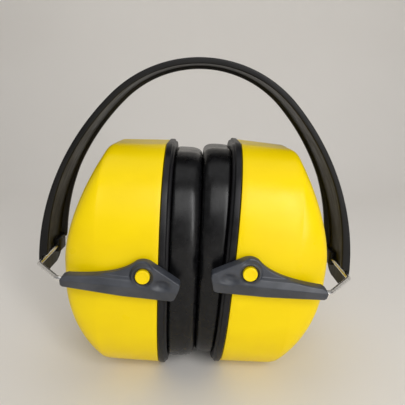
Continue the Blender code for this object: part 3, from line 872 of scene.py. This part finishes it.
def make_cushion_plate(side, frames, material):
    """Thin ring behind the cushion, with its snap lip inside the rim ring."""
    near, far = -4.6 * MM, -6.1 * MM
    lip = PLATE_INNER_INSET
    profile = [
        (near, 4.2 * MM),
        (near - 0.25 * MM, 3.95 * MM),
        (far + 0.25 * MM, 3.95 * MM),
        (far, 4.2 * MM),
        (far, 16.2 * MM),
        (far + 0.3 * MM, 16.5 * MM),
        (near - 0.3 * MM, 16.5 * MM),
        (near, 16.2 * MM),
        (near, lip + 2.1 * MM),
        (near + 2.4 * MM, lip + 2.1 * MM),
        (near + 2.4 * MM, lip + 0.3 * MM),
        (near, lip + 0.3 * MM),
    ]
    plate = ring_piece(f"{side}_cushion_carrier", side, profile, frames, material)
    install(plate, f"{side}_cup", "plate", f"{side}_cushion_plate")


def make_insert(side, frames, material):
    """Acoustic foam bowl with a soft, uneven surface."""
    gap, drop, count = SHELL_WALL + INSERT_GAP, SHELL_WALL + 1.2 * MM, INSERT_RING_POINTS
    outer = bowl(INSERT_RIM_S, gap, drop, count)
    inner = bowl(INSERT_RIM_S + 0.6 * MM, gap + INSERT_THICKNESS, drop + INSERT_THICKNESS, count)
    rim = [
        side_ring(INSERT_RIM_S, gap + 1.2 * MM, count),
        side_ring(INSERT_RIM_S, gap + INSERT_THICKNESS - 1.0 * MM, count),
    ]
    rings = [outer[-1], *reversed(outer[:-1]), *rim, *inner]
    insert = make_object(
        f"{side}_foam_liner", loft(rings), frames[f"{side}_cup"], material, (OUTBOARD[side], 1), 60.0
    )
    lumps = bpy.data.textures.new(f"{side}_lumps", "CLOUDS")
    lumps.noise_scale = 0.008
    displace = insert.modifiers.new("lumps", "DISPLACE")
    displace.texture = lumps
    displace.strength = 0.9 * MM
    displace.mid_level = 0.5
    apply_modifiers(insert)
    install(insert, f"{side}_cup", "foam", f"{side}_acoustic_insert")


# Cushions


def cushion_face(side, z):
    """How far inboard of the rim the cushion's face lies at this height."""
    return CUSHION_FACE[side] + CUSHION_FACE_SLOPE[side] * z


def cushion_rings(side, shrink, count=RING_POINTS):
    """Rings round a cushion's section: tucked foot, swollen sides and crowned face."""
    section = [(0.0, 0.08), (0.015, 0.03), (0.06, 0.008), (0.16, 0.0), (0.4, 0.0), (0.58, 0.006)]
    section += [(0.75, 0.028), (0.87, 0.075), (0.95, 0.15), (0.985, 0.25), (1.0, 0.38)]
    outer, width = CUSHION_INSET + shrink, CUSHION_WIDTH - 2 * shrink
    points = section + [(1.0, 0.5)] + [(depth, 1.0 - across) for depth, across in reversed(section)]
    rings = []
    for depth, across in points:
        ring = []
        for _, y, z in cup_ring(0.0, inset=outer + across * width, count=count):
            reach = cushion_face(side, z) + CUSHION_SQUEEZE - CUSHION_BACK - shrink
            ring.append((-(CUSHION_BACK + depth * reach), y, z))
        rings.append(ring)
    return rings


def swelling(obj, pinned):
    """Where the points of a remeshed copy start, and how far each moves when it is inflated as cloth."""
    pad = bpy.data.objects.new("pad", obj.data.copy())
    bpy.context.scene.collection.objects.link(pad)
    remesh = pad.modifiers.new("remesh", "REMESH")
    remesh.mode = "VOXEL"
    remesh.voxel_size = CUSHION_VOXEL
    apply_modifiers(pad)
    start = np.array([vertex.co for vertex in pad.data.vertices])
    group = pad.vertex_groups.new(name="pin")
    group.add([i for i, place in enumerate(start) if pinned(place)], 1.0, "REPLACE")
    cloth = pad.modifiers.new("cloth", "CLOTH")
    cloth.settings.quality = 6
    cloth.settings.use_pressure = True
    cloth.settings.uniform_pressure_force = CUSHION_PRESSURE
    cloth.settings.effector_weights.gravity = 0.0
    cloth.settings.vertex_group_mass = "pin"
    cloth.point_cache.frame_start = 1
    cloth.point_cache.frame_end = CLOTH_FRAMES
    for step in range(1, CLOTH_FRAMES + 1):
        bpy.context.scene.frame_set(step)
    apply_modifiers(pad)
    bpy.context.scene.frame_set(1)
    moved = np.array([vertex.co for vertex in pad.data.vertices]) - start
    bpy.data.objects.remove(pad, do_unlink=True)
    return start, moved


def swell(obj, pinned):
    """Moves each point of a pad as the cloth round it moved, up to the cap.

    On these small cushions the cloth moves by 0.2 mm at most, so the lofted section sets their shape.
    """
    start, moved = swelling(obj, pinned)
    length = np.linalg.norm(moved, axis=1, keepdims=True)
    print(f"{obj.name} swelled by up to {length.max() / MM:.1f} mm, mostly {np.median(length) / MM:.1f} mm")
    moved *= np.minimum(1.0, CUSHION_SWELL_CAP / np.maximum(length, 1e-9))
    tree = KDTree(len(start))
    for i, place in enumerate(start):
        tree.insert(place, i)
    tree.balance()
    for vertex in obj.data.vertices:
        found = tree.find_n(vertex.co, SWELL_NEIGHBOURS)
        weights = np.array([1.0 / (distance + CUSHION_VOXEL) for _, _, distance in found])
        moves = moved[[index for _, index, _ in found]]
        vertex.co += Vector((moves * weights[:, None]).sum(axis=0) / weights.sum())


def rest_on_neighbour(obj, side):
    """Flattens a cushion where it would pass its contact face or its back."""
    for vertex in obj.data.vertices:
        depth = -OUTBOARD[side] * vertex.co.x
        depth = min(depth, cushion_face(side, vertex.co.z))
        vertex.co.x = -OUTBOARD[side] * max(depth, CUSHION_BACK)


def make_cushion(side, frames, material):
    """Vinyl-covered cushion, lofted to its padded section, with a welded bead round its inner edge."""
    data = loft(cushion_rings(side, CUSHION_START_INSET), True)
    cushion = make_object(f"{side}_cushion", data, Matrix.Identity(4), material, (OUTBOARD[side], 1))
    swell(cushion, lambda place: -OUTBOARD[side] * place[0] < CUSHION_BACK + CUSHION_PINNED_DEPTH)
    rest_on_neighbour(cushion, side)
    cushion.data.transform(frames[f"{side}_cup"])
    subdivision = cushion.modifiers.new("subdivision", "SUBSURF")
    subdivision.levels = subdivision.render_levels = 1
    cushion.data.shade_smooth()
    install(cushion, f"{side}_cup", "cover", f"{side}_cushion_foam", f"{side}_cushion_cover")
    depth, inner = CUSHION_BACK + WELD_DEPTH, CUSHION_INSET + CUSHION_WIDTH - WELD_INSET
    angles = [2 * math.pi * i / 12 for i in range(12)]
    bead = [(-depth - WELD_RADIUS * math.cos(a), inner + WELD_RADIUS * math.sin(a)) for a in angles]
    weld = ring_piece(f"{side}_cushion_weld", side, bead, frames, material)
    install(weld, f"{side}_cup", "cover")


# Stage


def make_stage():
    """Pale floor that curves up into a backdrop."""
    finish = Finish("pale_stage", (0.80, 0.77, 0.73), 0.75)
    finish.color(finish.noise(3.0, 3.0), (0.3, (0.78, 0.75, 0.71)), (0.7, (0.82, 0.79, 0.75)))
    finish.bump([(finish.noise(300.0), 0.05, 0.001)])
    rows = [(-STAGE_HALF_SIZE, 0.0), (SWEEP_START_Y, 0.0)]
    for i in range(1, 13):
        a = 0.5 * math.pi * i / 12
        rows.append((SWEEP_START_Y + SWEEP_RADIUS * math.sin(a), SWEEP_RADIUS * (1.0 - math.cos(a))))
    rows.append((SWEEP_START_Y + SWEEP_RADIUS, SWEEP_HEIGHT))
    points = [(x, y, z) for y, z in rows for x in (-STAGE_HALF_SIZE, STAGE_HALF_SIZE)]
    faces = [(2 * i, 2 * i + 1, 2 * i + 3, 2 * i + 2) for i in range(len(rows) - 1)]
    sweep = make_object("studio_sweep", (points, faces), Matrix.Identity(4), finish.material, sharp=80.0)


def add_light(name, place, size, power):
    """A rectangular light that faces the object."""
    data = bpy.data.lights.new(name, "AREA")
    data.shape = "RECTANGLE"
    data.size, data.size_y = size
    data.energy = power
    light = bpy.data.objects.new(name, data)
    light.location = place
    light.rotation_euler = (Vector(LIGHT_TARGET) - Vector(place)).to_track_quat("-Z", "Y").to_euler()
    bpy.context.scene.collection.objects.link(light)


def make_lights():
    """A tall window light on the right, soft front and top lights, and an even surround."""
    add_light("window", (0.34, -0.62, 0.34), (0.08, 0.6), 2.6)
    add_light("fill", (0.05, -0.75, 0.60), (0.6, 0.5), 2.3)
    add_light("overhead", (0.0, 0.1, 0.9), (1.0, 1.0), 2.0)
    world = bpy.data.worlds.new("studio")
    world.use_nodes = True
    background = world.node_tree.nodes["Background"]
    background.inputs["Color"].default_value = WORLD_COLOR
    background.inputs["Strength"].default_value = WORLD_STRENGTH
    bpy.context.scene.world = world
    bpy.context.scene.view_settings.view_transform = "Standard"


def make_camera():
    """The camera, a little above the object and close to it."""
    data = bpy.data.cameras.new("camera")
    data.lens = FOCAL_LENGTH
    data.sensor_width = SENSOR_WIDTH
    camera = bpy.data.objects.new("camera", data)
    camera.location = CAMERA_PLACE
    camera.rotation_euler = (math.radians(90.0 + CAMERA_PITCH), 0.0, math.radians(CAMERA_YAW))
    bpy.context.scene.collection.objects.link(camera)
    bpy.context.scene.camera = camera


def main():
    """Builds every piece, then the stage and the lights."""
    frames = make_frames()
    materials = make_materials()
    make_camera()
    make_headband(frames["band"], materials["band"])
    for side in SIDES:
        make_wire(side, frames, materials["wire"])
        for facing in FACING:
            make_arm(side, facing, frames, materials["arm"])
            make_pin(side, facing, frames, materials["cup"])
        make_shell(side, frames, materials["cup"])
        make_back_plate(side, frames, materials["plate"])
        make_cushion_plate(side, frames, materials["plate"])
        make_insert(side, frames, materials["foam"])
        make_cushion(side, frames, materials["cover"])
    make_stage()
    make_lights()


main()
